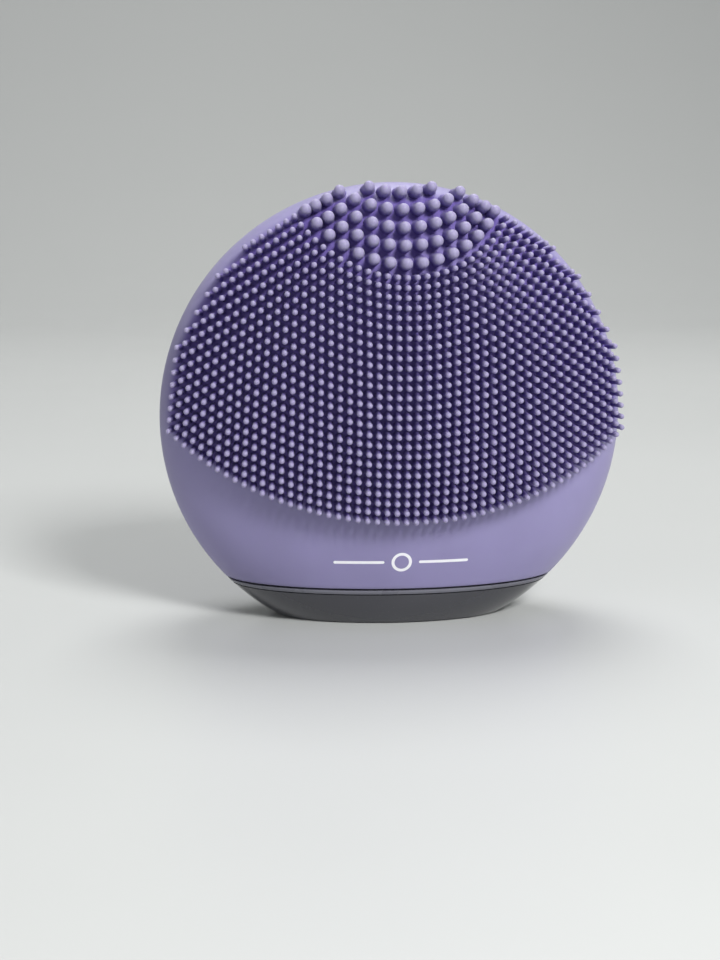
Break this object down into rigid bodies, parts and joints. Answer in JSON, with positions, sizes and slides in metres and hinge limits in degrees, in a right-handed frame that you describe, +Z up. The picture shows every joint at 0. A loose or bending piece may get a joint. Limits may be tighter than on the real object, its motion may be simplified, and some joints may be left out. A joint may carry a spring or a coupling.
{
  "type": "facial cleansing brush",
  "caption": "Round palm-size silicone face cleansing brush: fine and thick touch-points in front, massage arcs and a button at the back, flat glossy base.",
  "frame": {"origin": "centre of the flat standing face under the base cap", "axes": "+Z up, -Y out of the touch-point face, +Y out of the back with the power button, +X to the right seen from the touch-points"},
  "size_m": [0.068, 0.0333, 0.0635],
  "materials": {
    "sleeve_silicone": "smooth matte silicone, lavender",
    "fine_silicone": "matte silicone, lavender, paler at the tips",
    "thick_silicone": "matte silicone, pale lavender",
    "ridge_silicone": "smooth matte silicone, lavender",
    "housing_plastic": "fine-grained ABS, pale grey",
    "frame_plastic": "fine-grained ABS, mid grey",
    "dark_rubber": "matte black sealing rubber",
    "screw_steel": "zinc-plated steel",
    "base_gloss": "high gloss, dark violet grey",
    "trim_grey": "satin grey",
    "cover_plastic": "satin, dark grey",
    "battery_foil": "laminated foil pouch",
    "board_green": "solder-masked glass epoxy",
    "foam_black": "open foam",
    "chip_black": "moulded epoxy",
    "part_ceramic": "ceramic chip parts",
    "led_white": "LED package",
    "light_pipe_clear": "frosted clear acrylic",
    "switch_metal": "stamped steel",
    "stem_plastic": "acetal",
    "button_silicone": "smooth matte silicone, lavender",
    "icon_print": "white pad print",
    "ring_dark": "satin dark grey",
    "motor_steel": "drawn steel can",
    "end_cap_plastic": "cream nylon",
    "bushing_bronze": "sintered bronze",
    "magnet_dark": "bonded ferrite",
    "core_steel": "laminated steel",
    "copper_wire": "enamelled copper",
    "shaft_steel": "ground steel",
    "weight_metal": "sintered heavy metal",
    "jack_gold": "gold-plated brass",
    "lead_red": "PVC insulation, red",
    "lead_black": "PVC insulation, black"
  },
  "bodies": {
    "handset": {"silicone_sleeve": "sleeve_silicone", "fine_touchpoints": "fine_silicone", "thick_touchpoints": "thick_silicone", "massage_ridges": "ridge_silicone", "front_housing": "housing_plastic", "back_housing": "housing_plastic", "housing_gasket": "dark_rubber", "housing_screw_1": "screw_steel", "housing_screw_2": "screw_steel", "housing_screw_3": "screw_steel", "housing_screw_4": "screw_steel", "floor_plate": "frame_plastic", "base_cap": "base_gloss", "base_trim_ring": "trim_grey", "seam_gasket": "dark_rubber", "base_gasket": "dark_rubber", "base_screw_left": "screw_steel", "base_screw_right": "screw_steel", "screw_cover_left": "cover_plastic", "screw_cover_right": "cover_plastic", "mid_frame": "frame_plastic", "battery_cell": "battery_foil", "battery_board": "board_green", "battery_pad": "foam_black", "circuit_board": "board_green", "board_screw_left": "screw_steel", "board_screw_right": "screw_steel", "controller_chip": "chip_black", "board_parts": "part_ceramic", "status_led": "led_white", "light_pipe": "light_pipe_clear", "push_switch": "chip_black", "switch_cover": "switch_metal", "button_ring": "ring_dark", "motor_cradle": "frame_plastic", "motor_clamp": "frame_plastic", "motor_cushion": "dark_rubber", "motor_can": "motor_steel", "motor_end_cap": "end_cap_plastic", "front_bushing": "bushing_bronze", "rear_bushing": "bushing_bronze", "motor_magnets": "magnet_dark", "motor_brushes": "bushing_bronze", "charging_jack": "jack_gold", "jack_shell": "chip_black", "jack_contact": "jack_gold", "jack_seal": "dark_rubber", "battery_leads": "lead_red", "motor_leads": "lead_black", "jack_leads": "lead_red"},
    "power_button": {"power_button": "button_silicone", "button_icon": "icon_print"},
    "switch_stem": {"switch_stem": "stem_plastic"},
    "rotor": {"rotor_core": "core_steel", "rotor_windings": "copper_wire", "commutator": "copper_wire", "motor_shaft": "shaft_steel", "eccentric_weight": "weight_metal"}
  },
  "joints": [
    {"name": "button_press", "type": "slide", "parent": "handset", "child": "power_button", "axis": [0, -1, 0], "range_m": [0, 0.0006], "stiffness_N_per_m": 1800, "springref_m": -0.0002},
    {"name": "switch_press", "type": "slide", "parent": "handset", "child": "switch_stem", "axis": [0, -1, 0], "range_m": [0, 0.0006]},
    {"name": "motor_spin", "type": "hinge", "parent": "handset", "child": "rotor", "pos_m": [0, 0, 0.046], "axis": [1, 0, 0], "continuous": true}
  ],
  "couplings": [
    {"joint": "switch_press", "follows": "button_press", "ratio": 1}
  ]
}
